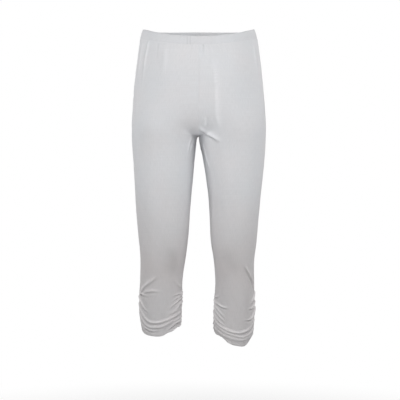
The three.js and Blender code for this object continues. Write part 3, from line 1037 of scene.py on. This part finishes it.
CAMERA_DISTANCE = 3.5
FRAME_WIDTH = 1.04          # what the picture's width covers at the garment
EYE_HEIGHT = -0.442
EYE_SIDE = 0.0034
SENSOR = 36
FLOOR_HEIGHT = -1.05
FLOOR_TONE = (0.82, 0.82, 0.82, 1)
FLOOR_RADIUS = 40.0
FLOOR_FADE = (0.3, 1.1)     # distances between which the pale floor turns into plain white
FLOOR_GLOW = 0.55           # share of plain white in it under the garment
LIGHT_ABOVE = 0.075         # soft light from all round, strongest off the pale floor
LIGHT_BELOW = 0.38


def add_camera():
    camera = add_object("camera", bpy.data.cameras.new("camera"))
    camera.location = (EYE_SIDE, -CAMERA_DISTANCE, EYE_HEIGHT)
    camera.rotation_euler = (math.pi / 2, 0, 0)
    camera.data.sensor_width = SENSOR
    camera.data.lens = SENSOR * CAMERA_DISTANCE / FRAME_WIDTH
    bpy.context.scene.camera = camera


def add_area_light(name, place, aim, power, size=(0.9, 0.9)):
    """A soft light aimed at the garment's middle, at the height aim."""
    light = bpy.data.lights.new(name, "AREA")
    light.shape = "RECTANGLE"
    light.size, light.size_y = size
    light.energy = power
    obj = add_object(name, light)
    obj.location = place
    direction = Vector((0, 0, aim)) - Vector(place)
    obj.rotation_euler = direction.to_track_quat("-Z", "Y").to_euler()


def add_floor():
    """A pale floor that turns into plain white well away from the garment."""
    bpy.ops.mesh.primitive_circle_add(vertices=96, radius=FLOOR_RADIUS, fill_type="NGON",
                                      location=(0, 0, FLOOR_HEIGHT))
    floor = bpy.context.object
    floor.name = "floor"
    nodes = Nodes(bpy.data.materials.new("pale_floor"))
    nodes.shader.inputs["Base Color"].default_value = FLOOR_TONE
    nodes.shader.inputs["Roughness"].default_value = 0.9
    place = nodes.add("ShaderNodeTexCoord").outputs["Object"]
    reach = nodes.add("ShaderNodeVectorMath", [(0, place)], operation="LENGTH").outputs["Value"]
    fade = nodes.step(reach, *FLOOR_FADE, FLOOR_GLOW)
    glow = nodes.add("ShaderNodeEmission", [("Color", WHITE), ("Strength", 1.0)]).outputs[0]
    joined = nodes.add("ShaderNodeMixShader", [(0, fade), (1, nodes.shader.outputs[0]), (2, glow)])
    output = nodes.tree.nodes["Material Output"]
    nodes.join(joined.outputs[0], output.inputs["Surface"])
    floor.data.materials.append(nodes.owner)
    floor.visible_diffuse = False


def add_world():
    """Soft light from all round, in front of a plain white backdrop."""
    world = bpy.data.worlds.new("studio")
    bpy.context.scene.world = world
    nodes = Nodes(world)
    place = nodes.add("ShaderNodeTexCoord").outputs["Generated"]
    split = nodes.add("ShaderNodeSeparateXYZ", [(0, place)])
    rise = nodes.add("ShaderNodeMapRange", [("Value", split.outputs[2]), ("From Min", -1.0),
                                            ("To Min", LIGHT_BELOW), ("To Max", LIGHT_ABOVE)])
    soft = nodes.tree.nodes["Background"]
    soft.inputs["Color"].default_value = WHITE
    nodes.join(rise.outputs[0], soft.inputs["Strength"])
    backdrop = nodes.add("ShaderNodeBackground", [("Color", WHITE), ("Strength", 1.0)])
    seen = nodes.add("ShaderNodeLightPath").outputs["Is Camera Ray"]
    joined = nodes.add("ShaderNodeMixShader", [(0, seen), (1, soft.outputs[0]),
                                               (2, backdrop.outputs[0])])
    nodes.join(joined.outputs[0], nodes.tree.nodes["World Output"].inputs["Surface"])


def add_stage():
    add_floor()
    add_world()
    add_area_light("key", place=(0.1, -1.7, 0.9), aim=-0.1, power=4.7, size=(0.9, 0.8))
    add_area_light("fill", place=(0, -1.6, -0.1), aim=-0.2, power=7.0, size=(0.8, 0.8))
    for side in (-1, 1):
        add_area_light("side", place=(side * 1.4, -0.9, 0.4), aim=-0.2, power=10.9)
        add_area_light("back_side", place=(side * 1.4, 1, 0.3), aim=-0.3, power=8.2)
    add_area_light("back", place=(-0.3, 1.9, 0.6), aim=-0.3, power=13.5, size=(1.0, 0.9))
    bpy.context.scene.view_settings.view_transform = "Standard"


# ------ the garment


def build():
    add_camera()
    add_stage()
    jersey = jersey_material("pale_jersey", JERSEY_COOL, JERSEY_WARM)
    elastic = jersey_material("waistband_jersey", BAND_COOL, BAND_WARM)
    thread = thread_material()

    band = build_waistband()
    band.data.materials.append(elastic)
    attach(band, "root")
    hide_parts("waistband")
    for side in ("right", "left"):
        panels = []
        for front in (True, False):
            panel = build_panel(side, front)
            panels.append(panel)
            panel.piece.data.materials.append(jersey)
            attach(panel.piece, "root")
            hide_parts(f"{'front' if front else 'back'}_{side}")
        stitches = build_hem_stitches(side, panels)
        stitches.data.materials.append(thread)
        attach(stitches, "root")


build()
